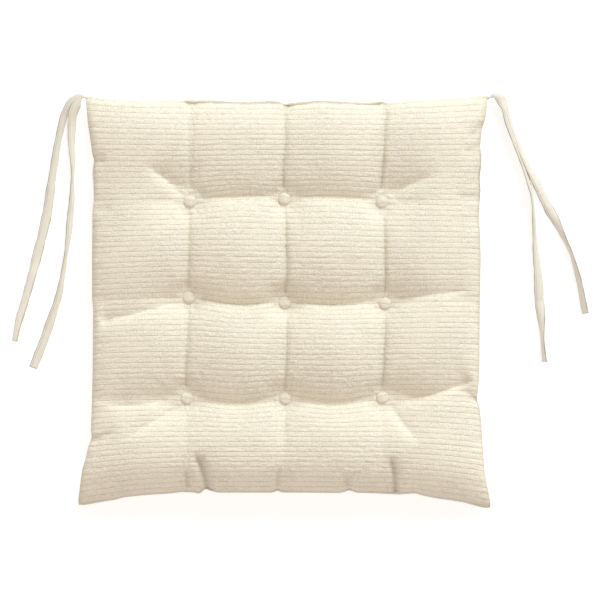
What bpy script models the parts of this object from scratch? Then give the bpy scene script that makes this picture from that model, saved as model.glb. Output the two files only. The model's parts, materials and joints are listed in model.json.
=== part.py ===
"""Square tufted chair seat pad: two cloth panels around a filling, tied down by covered
buttons in three rows of three, closed by a hand-stitched opening at the rear, with two
tape ties at each rear corner.

Metres, +Z up. The origin is the middle of the footprint, on the surface that the pad lies
on. +Y points to the rear edge, whose corners carry the ties.
"""

import math

import bmesh
import bpy
from mathutils import Vector

# ---- plan of the pad ----
# Corner tips of the sewn outline, and how far each side pulls in between its two tips.
TIP_FRONT_LEFT = Vector((-0.203, -0.1995))
TIP_FRONT_RIGHT = Vector((0.203, -0.2015))
TIP_REAR_LEFT = Vector((-0.195, 0.2015))
TIP_REAR_RIGHT = Vector((0.199, 0.2015))
PULL_LEFT = 0.0105
PULL_RIGHT = 0.0090
PULL_FRONT = 0.0135
PULL_REAR = 0.0060
PULL_POWER = 3.5  # a higher power keeps the flare closer to the corners
HALF_SIDE = 0.195  # half of an average side, which turns plan parameters into lengths

# ---- heights ----
CROWN = 0.051  # height that the fullest puffs approach
SEAM_AT_SIDES = 0.021  # height of the knife edge at the middle of a side
SEAM_AT_TIPS = 0.007  # and at the four corner tips, which droop
TOP_SEAT = 0.027  # outer face of the cloth under a top button
BASE_SEAT = 0.012  # outer face of the cloth over an underside button
SWELL_POWER = 2.6  # how square the rise from the seam is
TOP_ROW_CREASE = 0.36  # share of the rise lost along a row, between two buttons
TOP_COLUMN_CREASE = 0.20  # and along a column
BASE_CREASE = 0.50
BASE_FULLNESS = 1.5  # over 1, so that the underside lies flat on the surface
CREASE_WIDTH = 0.014
TUFT_SPREAD = 0.018
TUFT_CUTOFF = 0.05  # leaves the undersides of the puffs flat
TUFT_SEAT_RADIUS = 0.0115

# ---- cloth, filling and thread ----
CLOTH = 0.0012
SEAM_RIM = 0.00135  # from the seam's height to a panel's outer face at its edge
FILLING_INSET = 0.0024
TUFT_HOLE_RADIUS = 0.0021
SEAM_THREAD_RADIUS = 0.00025
SEAM_THREAD_SHARE = 0.4  # how far in its ring lies, from the edge to the next grid line
TUFT_THREAD_RADIUS = 0.00045
CLOSING_FROM = -0.099  # the filling opening along the rear edge, in X
CLOSING_TO = 0.097
CLOSING_STITCHES = 20
CLOSING_RISE = 0.0009
CLOSING_RADIUS = 0.0003
CLOSING_CLEAR = 0.0009  # from the rear outline to the stitch's middle

# ---- tufts ----
# Tufting is done by hand, so each button sits a few millimetres off an even 96 mm grid.
TUFTS = {
    "rear_left": (-0.0930, 0.0985),
    "rear_middle": (-0.0005, 0.1010),
    "rear_right": (0.0950, 0.0985),
    "centre_left": (-0.0940, 0.0045),
    "centre_middle": (0.0000, -0.0005),
    "centre_right": (0.0980, -0.0010),
    "front_left": (-0.0960, -0.0940),
    "front_middle": (0.0005, -0.0940),
    "front_right": (0.0955, -0.0935),
}
TUFT_LINES = (-0.48, 0.0, 0.48)  # plan parameters of the rows and the columns
ROWS = ("front", "centre", "rear")
COLUMNS = ("left", "middle", "right")

# ---- covered buttons ----
BUTTON_RADIUS = 0.0060
BUTTON_HEIGHT = 0.0048
BUTTON_CLEAR = 0.0003  # kept between touching pieces
BUTTON_STEPS = 10
RECESS_RADIUS = 0.0048
RECESS_DEPTH = 0.0015
BACK_RADIUS = 0.0045
BACK_THICKNESS = 0.0012
SHANK_RADIUS = 0.0016
SHANK_LENGTH = 0.0030
SHANK_BORE_RADIUS = 0.0009
SHANK_BORE_DEPTH = 0.0032

# ---- ties ----
TAPE_WIDTH = 0.0086
TAPE_THICKNESS = 0.0008
TAPE_POINT_STEP = 0.010
TAPE_ROOT_SHARE = 0.30  # of the width, where the tape is gathered into its bar tack
TAPE_GATHER_LENGTH = 0.012
TAPE_DROP_RADIUS = 0.056  # how far from the swing axis it has come down to the surface
TAPE_STACK = 0.0016  # from one tape's middle to the next one's
TAPE_LOW = 0.0007  # height of the lower tape's middle on the surface
TACK_SIZE = (0.0018, 0.0030, 0.0024)  # along the tape, across it and in height
TACK_REACH = 0.0003 + TACK_SIZE[0] / 2  # from the corner tip to the tack's middle
PIVOT_REACH = TACK_REACH + TACK_SIZE[0] / 2 + 0.0022  # and to the tapes' swing axis
TACK_TURN_LEFT = math.radians(164)
TACK_TURN_RIGHT = math.radians(14)

# Each route starts at its swing axis, and its points are X and Y in millimetres.
TIE_ROUTES = {
    "tie_left_outer": (
        (-203, 204), (-211, 197), (-218, 186), (-222.5, 169), (-226, 152), (-229.5, 130),
        (-232.5, 110), (-236, 88), (-240.5, 68), (-245.5, 48), (-251.5, 25), (-258.5, 0),
        (-264.5, -20), (-268, -38.5),
    ),
    "tie_left_inner": (
        (-201.5, 202.5), (-206, 196), (-210, 185.5), (-211, 169), (-211, 154), (-210, 138),
        (-210, 126), (-210.5, 113), (-211, 98), (-212.5, 84), (-214, 66), (-216, 51),
        (-218, 38.5), (-220.5, 23), (-224, 6), (-229, -9.5), (-234, -24.5), (-239.5, -40),
        (-245.5, -55), (-249.5, -65),
    ),
    "tie_right_inner": (
        (206.5, 204), (212.5, 200), (216.5, 193), (219.5, 180), (225, 165), (230, 152),
        (235, 138.5), (239.5, 124), (243, 110), (245, 98), (246, 85), (247, 70), (248, 51),
        (250.5, 26), (252, 0.5), (253.5, -19.5), (254.5, -39.5), (256.5, -59),
    ),
    "tie_right_outer": (
        (207, 205), (213.5, 201), (218, 194), (221.5, 181), (227, 166), (232.5, 152),
        (238.5, 138), (246, 123), (252.5, 110.5), (259.5, 96), (266.5, 83), (275.5, 64),
        (282.5, 49), (287.5, 33), (291.5, 17), (294.5, 0.5), (297, -11.5),
    ),
}
UPPER_TIES = ("tie_left_inner", "tie_right_inner")  # they lie on the other tie of the pair

# ---- mesh fineness ----
# Plan parameters of the panels' grid lines over one half, from the middle to the seam.
HALF_GRID = (0.0, 0.041, 0.16, 0.32, 0.439, 0.48, 0.521, 0.64, 0.78, 0.89, 0.95, 1.0)
GRID = tuple(-g for g in HALF_GRID[:0:-1]) + HALF_GRID

COLLECTION = "chair_seat_pad"


# ---- scene and materials ----
def clear_scene():
    for ob in list(bpy.data.objects):
        bpy.data.objects.remove(ob, do_unlink=True)
    for name in (COLLECTION, "cutters"):
        old = bpy.data.collections.get(name)
        if old:
            bpy.data.collections.remove(old)


def new_collection(name):
    made = bpy.data.collections.new(name)
    bpy.context.scene.collection.children.link(made)
    return made


def material(name, colour, roughness, metallic=0.0):
    made = bpy.data.materials.new(name)
    made.use_nodes = True
    shader = made.node_tree.nodes["Principled BSDF"]
    shader.inputs["Base Color"].default_value = (*colour, 1.0)
    shader.inputs["Roughness"].default_value = roughness
    shader.inputs["Metallic"].default_value = metallic
    return made


def put(ob, name, collection, finish=None):
    """Names an object, files it in one collection only and gives it its material."""
    ob.name = name
    ob.data.name = name
    for old in list(ob.users_collection):
        old.objects.unlink(ob)
    collection.objects.link(ob)
    if finish:
        ob.data.materials.clear()
        ob.data.materials.append(finish)
    return ob


# ---- the pad's form ----
def side_point(start, end, t, pull, inward):
    """A point of one side, t from -1 to 1, pulled in most at its middle."""
    along = start.lerp(end, (t + 1) / 2)
    return along + Vector(inward) * pull * (1 - abs(t) ** PULL_POWER)


def sewn_plan(u, v):
    """X and Y of plan parameters from -1 to 1, blended from the four sides."""
    front = side_point(TIP_FRONT_LEFT, TIP_FRONT_RIGHT, u, PULL_FRONT, (0, 1))
    rear = side_point(TIP_REAR_LEFT, TIP_REAR_RIGHT, u, PULL_REAR, (0, -1))
    left = side_point(TIP_FRONT_LEFT, TIP_REAR_LEFT, v, PULL_LEFT, (1, 0))
    right = side_point(TIP_FRONT_RIGHT, TIP_REAR_RIGHT, v, PULL_RIGHT, (-1, 0))
    s, t = (u + 1) / 2, (v + 1) / 2
    low = TIP_FRONT_LEFT.lerp(TIP_FRONT_RIGHT, s)
    high = TIP_REAR_LEFT.lerp(TIP_REAR_RIGHT, s)
    return front.lerp(rear, t) + left.lerp(right, s) - low.lerp(high, t)


def hat(value, line):
    """1 on a tuft line, falling to 0 at the lines or sides next to it."""
    return max(0.0, 1 - abs(value - line) / 0.48)


def plan(u, v):
    """The sewn plan, shifted so that each tuft line crossing lands on its button."""
    point = sewn_plan(u, v)
    for j, row in enumerate(ROWS):
        for i, column in enumerate(COLUMNS):
            weight = hat(u, TUFT_LINES[i]) * hat(v, TUFT_LINES[j])
            if weight:
                wanted = Vector(TUFTS[f"{row}_{column}"])
                point += weight * (wanted - sewn_plan(TUFT_LINES[i], TUFT_LINES[j]))
    return point


def swell(u, v):
    """0 at the seam and 1 at the middle of the pad."""
    rise = (1 - abs(u) ** SWELL_POWER) * (1 - abs(v) ** SWELL_POWER)
    return math.sqrt(max(0.0, rise))


def seam_height(u, v):
    return SEAM_AT_SIDES - (SEAM_AT_SIDES - SEAM_AT_TIPS) * abs(u * v) ** 3


def line_distance(value):
    return min(abs(value - line) for line in TUFT_LINES) * HALF_SIDE


def crease(value):
    """1 on a tuft line, fading to its sides."""
    return math.exp(-line_distance(value) / CREASE_WIDTH)


def tuft(u, v):
    """1 on the flat seat of a button, fading outwards."""
    away = math.hypot(line_distance(u), line_distance(v)) - TUFT_SEAT_RADIUS
    pull = math.exp(-((max(0.0, away) / TUFT_SPREAD) ** 2))
    return max(0.0, (pull - TUFT_CUTOFF) / (1 - TUFT_CUTOFF))


def top_height(u, v):
    low = seam_height(u, v) + SEAM_RIM
    lost = max(TOP_ROW_CREASE * crease(v), TOP_COLUMN_CREASE * crease(u))
    high = low + (CROWN - low) * swell(u, v) * (1 - lost)
    return high + (TOP_SEAT - high) * tuft(u, v)


def base_height(u, v):
    high = seam_height(u, v) - SEAM_RIM
    lost = BASE_CREASE * max(crease(u), crease(v))
    fullness = BASE_FULLNESS * swell(u, v) * (1 - lost)
    low = high * (1 - min(1.0, fullness))
    return low + (BASE_SEAT - low) * tuft(u, v)


# ---- panels and filling ----
def grid_object(lines):
    """A flat grid whose lines stand at the given plan parameters."""
    steps = len(lines) - 1
    bpy.ops.mesh.primitive_grid_add(x_subdivisions=steps, y_subdivisions=steps, size=2)
    ob = bpy.context.object
    for vertex in ob.data.vertices:
        for axis in (0, 1):
            vertex.co[axis] = lines[round((vertex.co[axis] + 1) / 2 * steps)]
    return ob


def shape_panel(ob, height):
    for vertex in ob.data.vertices:
        u, v = vertex.co.x, vertex.co.y
        vertex.co = (*plan(u, v), height(u, v))


def cut_tuft_holes(ob, cutter):
    cut = ob.modifiers.new("tuft_holes", "BOOLEAN")
    cut.operation = "DIFFERENCE"
    cut.solver = "EXACT"
    cut.object = cutter


def tuft_hole_cutter(collection):
    """One drill for each tuft, through the whole pad."""
    bm = bmesh.new()
    for x, y in TUFTS.values():
        drill = bmesh.ops.create_cone(
            bm, cap_ends=True, segments=8, depth=2 * CROWN,
            radius1=TUFT_HOLE_RADIUS, radius2=TUFT_HOLE_RADIUS,
        )
        bmesh.ops.translate(bm, verts=drill["verts"], vec=(x, y, 0))
    mesh = bpy.data.meshes.new("tuft_hole_cutter")
    bm.to_mesh(mesh)
    bm.free()
    ob = bpy.data.objects.new("tuft_hole_cutter", mesh)
    collection.objects.link(ob)
    ob.hide_render = True
    ob.display_type = "WIRE"
    return ob


def cover_panel(name, height, faces_down, cutter, collection, finish):
    """One cloth panel, thickened towards the filling."""
    ob = grid_object(GRID)
    shape_panel(ob, height)
    if faces_down:
        ob.data.flip_normals()
    solid = ob.modifiers.new("cloth", "SOLIDIFY")
    solid.thickness = CLOTH
    solid.offset = -1
    cut_tuft_holes(ob, cutter)
    ob.data.shade_smooth()
    return put(ob, name, collection, finish)


def filling(cutter, collection, finish):
    """The loose fibre filling, which follows both panels inside the seam."""
    flat = grid_object(GRID[1:-1])
    thick = flat.modifiers.new("slab", "SOLIDIFY")
    thick.thickness = 1.0
    thick.offset = 0
    evaluated = flat.evaluated_get(bpy.context.evaluated_depsgraph_get())
    ob = bpy.data.objects.new("wadding_core", bpy.data.meshes.new_from_object(evaluated))
    bpy.data.objects.remove(flat, do_unlink=True)
    for vertex in ob.data.vertices:
        u, v, z = vertex.co
        height = top_height if z > 0 else base_height
        vertex.co = (*plan(u, v), height(u, v))
    inset = ob.modifiers.new("inset", "DISPLACE")
    inset.strength = -FILLING_INSET
    inset.mid_level = 0
    cut_tuft_holes(ob, cutter)
    ob.data.shade_smooth()
    return put(ob, "wadding_core", collection, finish)


# ---- threads ----
def thread_object(name, points, radius, closed, collection, finish):
    """A round thread through the given points."""
    curve = bpy.data.curves.new(name, "CURVE")
    curve.dimensions = "3D"
    curve.bevel_depth = radius
    curve.bevel_resolution = 1
    curve.use_fill_caps = not closed
    spline = curve.splines.new("POLY")
    spline.points.add(len(points) - 1)
    for point, place in zip(spline.points, points):
        point.co = (*place, 1)
    spline.use_cyclic_u = closed
    ob = bpy.data.objects.new(name, curve)
    return put(ob, name, collection, finish)


def seam_thread(collection, finish):
    """The lockstitch that joins the panels, as a ring between them just inside the edge."""
    side = GRID[1:-1]  # without the tips, which the stitch line cuts off
    ring = [(t, -1) for t in side] + [(1, t) for t in side]
    ring += [(-t, 1) for t in side] + [(-1, -t) for t in side]
    inside = side[-1]
    points = []
    for u, v in ring:
        edge = Vector((*plan(u, v), seam_height(u, v)))
        u, v = max(-inside, min(inside, u)), max(-inside, min(inside, v))
        inner = Vector((*plan(u, v), (top_height(u, v) + base_height(u, v)) / 2))
        points.append(edge.lerp(inner, SEAM_THREAD_SHARE))
    return thread_object("seam_thread", points, SEAM_THREAD_RADIUS, True, collection, finish)


def closing_stitch(collection, finish):
    """The whip stitch that closes the filling opening, outside the rear seam."""
    points = []
    for i in range(2 * CLOSING_STITCHES + 1):
        x = CLOSING_FROM + (CLOSING_TO - CLOSING_FROM) * i / (2 * CLOSING_STITCHES)
        u = (x - TIP_REAR_LEFT.x) / (TIP_REAR_RIGHT.x - TIP_REAR_LEFT.x) * 2 - 1
        rise = CLOSING_RISE if i % 2 else -CLOSING_RISE
        points.append((x, plan(u, 1).y + CLOSING_CLEAR, seam_height(u, 1) + rise))
    return thread_object("closing_stitch", points, CLOSING_RADIUS, False, collection, finish)


def tuft_thread(name, x, y, collection, finish):
    """The cord that pulls a top button and an underside button together."""
    reach = SHANK_BORE_DEPTH - BUTTON_CLEAR - SHANK_LENGTH
    high = TOP_SEAT + reach
    low = BASE_SEAT - reach
    bpy.ops.mesh.primitive_cylinder_add(
        vertices=8, radius=TUFT_THREAD_RADIUS, depth=high - low,
        location=(x, y, (high + low) / 2),
    )
    bpy.context.object.data.shade_smooth()
    return put(bpy.context.object, name, collection, finish)


# ---- covered buttons ----
def turned(name, profile, collection, finish):
    """A closed turned piece from a profile of (radius, height), outer side from top to bottom."""
    mesh = bpy.data.meshes.new(name)
    bm = bmesh.new()
    corners = [bm.verts.new((radius, 0, height)) for radius, height in profile]
    for first, second in zip(corners, corners[1:]):
        bm.edges.new((first, second))
    bm.to_mesh(mesh)
    bm.free()
    ob = bpy.data.objects.new(name, mesh)
    screw = ob.modifiers.new("turn", "SCREW")
    screw.axis = "Z"
    screw.steps = BUTTON_STEPS
    screw.render_steps = BUTTON_STEPS
    screw.use_merge_vertices = True
    screw.merge_threshold = 0.00001
    return put(ob, name, collection, finish)


def button_cap(name, collection, finish):
    """The cloth-covered dome, hollow underneath where its back snaps in."""
    profile = [(0.0, BUTTON_HEIGHT)]
    for degrees in (32, 62, 84):
        a = math.radians(degrees)
        profile.append((BUTTON_RADIUS * math.sin(a), BUTTON_HEIGHT * math.cos(a)))
    profile += [
        (BUTTON_RADIUS * 0.96, 0.0),
        (RECESS_RADIUS, 0.0),
        (RECESS_RADIUS, RECESS_DEPTH),
        (0.0, RECESS_DEPTH),
    ]
    return turned(name, profile, collection, finish)


def button_back(name, collection, finish):
    """The plate that closes the cap, with the hollow shank that holds the tufting cord."""
    top = BACK_THICKNESS
    profile = [
        (0.0, top),
        (BACK_RADIUS, top),
        (BACK_RADIUS, 0.0),
        (SHANK_RADIUS, 0.0),
        (SHANK_RADIUS, -SHANK_LENGTH),
        (SHANK_BORE_RADIUS, -SHANK_LENGTH),
        (SHANK_BORE_RADIUS, SHANK_BORE_DEPTH - SHANK_LENGTH),
        (0.0, SHANK_BORE_DEPTH - SHANK_LENGTH),
    ]
    return turned(name, profile, collection, finish)


def place_button(side, place, x, y, collection, finishes):
    """A cap and its back on one face of the pad; the underside pair is turned over."""
    top = side == "top"
    for build, piece in ((button_cap, "cap"), (button_back, "back")):
        ob = build(f"{side}_button_{piece}_{place}", collection, finishes[piece])
        seat = TOP_SEAT + BUTTON_CLEAR if top else BASE_SEAT - BUTTON_CLEAR
        ob.location = (x, y, seat)
        ob.rotation_euler = (0 if top else math.pi, 0, 0)


# ---- ties ----
def smooth_route(route, step):
    """Points about step apart on a Catmull-Rom curve through the route's own points."""
    places = [Vector((x, y)) / 1000 for x, y in route]
    ends = [2 * places[0] - places[1], *places, 2 * places[-1] - places[-2]]
    dense = []
    for p0, p1, p2, p3 in zip(ends, ends[1:], ends[2:], ends[3:]):
        parts = max(1, round((p2 - p1).length / step))
        for k in range(parts):
            t = k / parts
            dense.append(
                0.5 * (2 * p1 + (p2 - p0) * t + (2 * p0 - 5 * p1 + 4 * p2 - p3) * t**2
                       + (3 * p1 - p0 - 3 * p2 + p3) * t**3)
            )
    return [*dense, places[-1]]


def smooth_step(value):
    value = min(1.0, max(0.0, value))
    return value * value * (3 - 2 * value)


def tie_curve(name):
    """A curve whose bevel is the section of a flat tape with round edges."""
    curve = bpy.data.curves.new(name, "CURVE")
    curve.dimensions = "3D"
    curve.twist_mode = "Z_UP"
    curve.extrude = (TAPE_WIDTH - TAPE_THICKNESS) / 2
    curve.bevel_depth = TAPE_THICKNESS / 2
    curve.bevel_resolution = 1
    curve.use_fill_caps = True
    return curve


def tie(name, pivot, collection, finish):
    """A flat tape from its swing axis to its cut end, gathered to a narrow round root.

    Its height depends only on the distance from the axis, so that the two tapes of a
    corner stay clear of each other however they are swung.
    """
    points = [pivot, *smooth_route(TIE_ROUTES[name], TAPE_POINT_STEP)]
    rounding = TAPE_ROOT_SHARE * TAPE_WIDTH / 2
    points.insert(0, pivot - (points[1] - pivot).normalized() * rounding * 0.8)
    upper = TAPE_STACK if name in UPPER_TIES else 0.0
    root_height = SEAM_AT_TIPS - TAPE_STACK / 2
    curve = tie_curve(name)
    spline = curve.splines.new("POLY")
    spline.points.add(len(points) - 1)
    for point, place in zip(spline.points, points):
        away = (place - pivot).length
        down = smooth_step(away / TAPE_DROP_RADIUS)
        point.co = (*place, root_height + (TAPE_LOW - root_height) * down + upper, 1)
        point.radius = TAPE_ROOT_SHARE + (1 - TAPE_ROOT_SHARE) * smooth_step(away / TAPE_GATHER_LENGTH)
        point.tilt = math.pi / 2
    spline.points[0].radius = TAPE_ROOT_SHARE / 2
    return put(bpy.data.objects.new(name, curve), name, collection, finish)


def bar_tack(name, tip, turn, collection, finish):
    """The dense block of stitches that holds a corner's two tapes."""
    bpy.ops.mesh.primitive_cube_add(size=1)
    ob = bpy.context.object
    for vertex in ob.data.vertices:
        for axis in range(3):
            vertex.co[axis] *= TACK_SIZE[axis]
    away = Vector((math.cos(turn), math.sin(turn))) * TACK_REACH
    ob.location = (tip.x + away.x, tip.y + away.y, SEAM_AT_TIPS)
    ob.rotation_euler = (0, 0, turn)
    edge = ob.modifiers.new("soft_edges", "BEVEL")
    edge.width = 0.0004
    edge.segments = 2
    return put(ob, name, collection, finish)


def corner_ties(side, tip, turn, collection, finishes):
    pivot = tip + Vector((math.cos(turn), math.sin(turn))) * PIVOT_REACH
    bar_tack(f"tie_bar_tack_{side}", tip, turn, collection, finishes["thread"])
    for place in ("inner", "outer"):
        tie(f"tie_{side}_{place}", pivot, collection, finishes["tape"])


# ---- the whole pad ----
def build():
    clear_scene()
    parts = new_collection(COLLECTION)
    cutters = new_collection("cutters")
    ribbed = material("ribbed_cloth", (0.86, 0.80, 0.69), 0.9)
    covered = material("button_cloth", (0.84, 0.78, 0.67), 0.9)
    fibre = material("polyester_fibre", (0.93, 0.93, 0.92), 0.95)
    backing = material("button_back_steel", (0.62, 0.62, 0.60), 0.4, 0.8)
    cotton = material("cotton_thread", (0.88, 0.83, 0.74), 0.7)
    tape = material("cotton_tape", (0.87, 0.82, 0.72), 0.85)

    cutter = tuft_hole_cutter(cutters)
    cover_panel("cover_top_panel", top_height, False, cutter, parts, ribbed)
    cover_panel("cover_bottom_panel", base_height, True, cutter, parts, ribbed)
    filling(cutter, parts, fibre)
    seam_thread(parts, cotton)
    closing_stitch(parts, cotton)
    finishes = {"cap": covered, "back": backing, "thread": cotton, "tape": tape}
    for place, (x, y) in TUFTS.items():
        tuft_thread(f"tuft_cord_{place}", x, y, parts, cotton)
        for side in ("top", "base"):
            place_button(side, place, x, y, parts, finishes)
    corner_ties("left", TIP_REAR_LEFT, TACK_TURN_LEFT, parts, finishes)
    corner_ties("right", TIP_REAR_RIGHT, TACK_TURN_RIGHT, parts, finishes)


build()
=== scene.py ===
"""Looks of the tufted chair seat pad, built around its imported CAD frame.

The two cover panels are a cloth simulation of a bag that is cut flat, sewn round its edge,
tied down at nine tufts and filled. Its result is refined to a fine mesh, which then gets its
fold lines, seam puckers, ribs and bouclé pile. Lengths are millimetres unless a name says
otherwise; meshes are made in metres.
"""

import json
import math

import bpy
import numpy as np
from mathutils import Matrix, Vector


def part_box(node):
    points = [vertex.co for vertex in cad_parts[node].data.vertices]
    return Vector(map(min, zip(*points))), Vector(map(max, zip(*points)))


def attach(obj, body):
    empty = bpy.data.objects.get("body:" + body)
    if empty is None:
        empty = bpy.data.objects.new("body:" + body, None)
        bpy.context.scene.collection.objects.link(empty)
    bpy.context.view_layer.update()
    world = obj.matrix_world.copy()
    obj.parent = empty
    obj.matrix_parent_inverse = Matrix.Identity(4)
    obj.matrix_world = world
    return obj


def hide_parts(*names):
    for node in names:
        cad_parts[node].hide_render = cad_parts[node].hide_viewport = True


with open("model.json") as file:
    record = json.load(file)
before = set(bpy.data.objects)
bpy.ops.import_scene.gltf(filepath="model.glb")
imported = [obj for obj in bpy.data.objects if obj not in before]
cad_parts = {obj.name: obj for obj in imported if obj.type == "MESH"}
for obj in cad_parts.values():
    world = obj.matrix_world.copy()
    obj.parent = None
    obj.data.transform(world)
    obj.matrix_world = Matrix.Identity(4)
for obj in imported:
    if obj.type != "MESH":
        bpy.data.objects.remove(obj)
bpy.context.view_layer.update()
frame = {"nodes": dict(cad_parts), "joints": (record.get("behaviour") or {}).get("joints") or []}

MM = 0.001
CAMERA_PLACE = (0.0147, 0.0021, 2.231)  # metres, straight above the pad
LENS = 135

# ---- plan of the pad, as in the CAD model ----
TIPS = {"fl": (-203, -199.5), "fr": (203, -201.5), "rl": (-195, 201.5), "rr": (199, 201.5)}
PULL = {"left": 10.5, "right": 9.0, "front": 13.5, "rear": 6.0}
PULL_POWER = 3.5
HALF_SIDE = 195.0
TUFT_AT = 0.48  # the outer tuft lines, as a share of half a side
TUFT_LINES = (-TUFT_AT, 0.0, TUFT_AT)
TUFTS = {
    "rear_left": (-93, 98.5), "rear_middle": (-0.5, 101), "rear_right": (95, 98.5),
    "centre_left": (-94, 4.5), "centre_middle": (0, -0.5), "centre_right": (98, -1),
    "front_left": (-96, -94), "front_middle": (0.5, -94), "front_right": (95.5, -93.5),
}
ROWS = ("front", "centre", "rear")
COLUMNS = ("left", "middle", "right")
SEAM_AT_SIDES = 21.0
SEAM_AT_TIPS = 7.0
TOP_SEAT = 27.0
BASE_SEAT = 12.0
CROWN = 50  # of a puff, before it is filled
PUFF_POWER = 2.6  # how squarely the bag swells, before it is filled
HOLLOW_REACH = 48.0  # of the hollows along the lines of tufts
TUFT_SPREAD = 10.0  # of the dimple round a button on top
BASE_SPREAD = 18.0  # and of the one on the underside
TUFT_SEAT = 5.2  # radius of the cloth a button holds down
ROW_DROP = 14.5
COLUMN_DROP = 9.0
BUTTON_CLEAR = 0.3
BUTTON_RADIUS = 6.0
BUTTON_HEIGHT = 3.3
BUTTON_RIM = 0.35
SEAM_STITCH = 3.0  # from one lockstitch to the next
PIVOT_CLEAR = 6.0  # of lockstitches, round the pivots of the ties
WHIP_STITCHES = 40
OPENING = (-99.0, 97.0)  # X of the ends of the hand-sewn opening in the rear seam

# ---- ties ----
TAPE_WIDTH = 8.6
TAPE_FULL = 9.3  # where it is pressed flat
TAPE_CROWN = 1.3
TAPE_THICKNESS = 0.9
TAPE_ROOT_SHARE = 0.30
TAPE_GATHER = 12.0
TAPE_DROP_RADIUS = 56.0
TAPE_STACK = 1.6
TAPE_LOW = 0.7
TAPE_STEP = 1.3  # between the rings of its mesh
TAPE_STITCH = 3.0  # from one stitch to the next
TIES = {
    "tie_left_outer": {
        "route": (
            (-203, 204), (-211, 197), (-218, 186), (-222.5, 169), (-226, 152), (-229.5, 130),
            (-232.5, 110), (-236, 88), (-240.5, 68), (-245.5, 48), (-251.5, 25), (-258.5, 0),
            (-264.5, -20), (-268, -38.5),
        ),
        # turn of the tape about its own line, in degrees, at some Y along the route
        "twist": (
            (200, 20), (186, 44), (169, 52), (151, 52), (133, 46), (115, 40), (104, 22), (90, 5),
            (40, 0), (27, -22), (0, -26), (-18, -34), (-28, -48), (-38, -52),
        ),
    },
    "tie_left_inner": {
        "route": (
            (-201.5, 202.5), (-206, 196), (-210, 185.5), (-211, 169), (-211, 154), (-210, 138),
            (-210, 126), (-210.5, 113), (-211, 98), (-212.5, 84), (-214, 66), (-216, 51),
            (-218, 38.5), (-220.5, 23), (-224, 6), (-229, -9.5), (-234, -24.5), (-239.5, -40),
            (-245.5, -55), (-249.5, -65),
        ),
        "twist": (
            (200, 0), (186, 16), (169, 42), (150, 56), (127, 80), (104, 66), (88, 53), (73, 56),
            (46, 77), (17, 60), (-5, 46), (-28, 28), (-46, 30), (-63, 35),
        ),
    },
    "tie_right_inner": {
        "route": (
            (206.5, 204), (212.5, 200), (216.5, 193), (219.5, 180), (225, 165), (230, 152),
            (235, 138.5), (239.5, 124), (243, 110), (245, 98), (246, 85), (247, 70), (248, 51),
            (250.5, 26), (252, 0.5), (253.5, -19.5), (254.5, -39.5), (256.5, -59),
        ),
        "twist": (
            (203, 20), (196, 50), (186, 56), (172, 52), (140, 54), (116, 62), (106, 76), (88, 72),
            (59, 58), (31, 32), (2, 5), (-17, -45), (-33, -76), (-50, -74), (-59, -66),
        ),
    },
    "tie_right_outer": {
        "route": (
            (207, 205), (213.5, 201), (218, 194), (221.5, 181), (227, 166), (232.5, 152),
            (238.5, 138), (246, 123), (252.5, 110.5), (259.5, 96), (266.5, 83), (275.5, 64),
            (282.5, 49), (287.5, 33), (291.5, 17), (294.5, 0.5), (297, -11.5),
        ),
        "twist": (
            (203, 20), (196, 50), (186, 56), (172, 52), (140, 52), (127, 44), (108, 18), (93, 12),
            (74, -50), (61, -74), (50, -76), (38, -72), (22, -62), (-1, -58), (-13, -54),
        ),
    },
}
UPPER_TIES = ("tie_left_inner", "tie_right_inner")

# ---- cloth ----
RIB_PITCH = 5.6
RIB_HEIGHT = 0.5
PILE = 0.25  # height of the bouclé loops in the mesh
FLAT_X = (-208, -101, 0, 101, 208)  # the cut panel's sides and tuft lines
FLAT_Y = (-209, -103.5, 0, 103.5, 209)
SIM_STEPS = 96  # cells along one side of the simulated bag
SIM_FRAMES = 22
ROW_PIN = 0.9  # how firmly the creases and the seam are held
COLUMN_PIN = 0.8
EDGE_PIN = 0.42
FINE_ROWS = 446
FINE_COLUMNS = 221
FOLD_MARGIN = 14.0  # the long folds run out this near to the seam
BASE_FOLDS = 0.6  # depth of the underside's folds, as a share of the top's
OUTLINE_REACH = 24.0  # how far in the outline's notches are felt
LOWEST = 0.03
RNG = np.random.default_rng(11)


# ---- helpers ----
def ease(value):
    value = np.clip(value, 0, 1)
    return value * value * (3 - 2 * value)


def link(ob):
    bpy.context.scene.collection.objects.link(ob)
    return ob


def mesh_object(name, verts, faces, material=None, smooth=True):
    """A mesh object from points in millimetres."""
    mesh = bpy.data.meshes.new(name)
    mesh.from_pydata((np.asarray(verts) * MM).tolist(), [], [tuple(f) for f in faces])
    mesh.update()
    if smooth:
        mesh.shade_smooth()
    if material:
        mesh.materials.append(material)
    return link(bpy.data.objects.new(name, mesh))


def store(ob, name, values):
    """A vector at each vertex, for the material to read."""
    layer = ob.data.attributes.new(name, "FLOAT_VECTOR", "POINT")
    layer.data.foreach_set("vector", np.ascontiguousarray(values, np.float32).ravel())


def grid_faces(index, flip=False):
    q = np.stack([index[:-1, :-1], index[:-1, 1:], index[1:, 1:], index[1:, :-1]], -1)
    q = q.reshape(-1, 4)
    return (q[:, ::-1] if flip else q).tolist()


def catmull(n_in, x):
    """The matrix that interpolates n_in samples at the places x by a Catmull-Rom curve."""
    i = np.minimum(np.floor(x).astype(int), n_in - 2)
    t = x - i
    made = np.zeros((len(x), n_in))
    weights = (
        0.5 * (-t + 2 * t**2 - t**3), 0.5 * (2 - 5 * t**2 + 3 * t**3),
        0.5 * (t + 4 * t**2 - 3 * t**3), 0.5 * (-(t**2) + t**3),
    )
    for k, weight in enumerate(weights):
        np.add.at(made, (np.arange(len(x)), np.clip(i + k - 1, 0, n_in - 1)), weight)
    return made


def distances(line):
    """How far each point of a line is from its start, measured along it."""
    return np.concatenate([[0], np.cumsum(np.linalg.norm(np.diff(line, axis=0), axis=1))])


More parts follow.
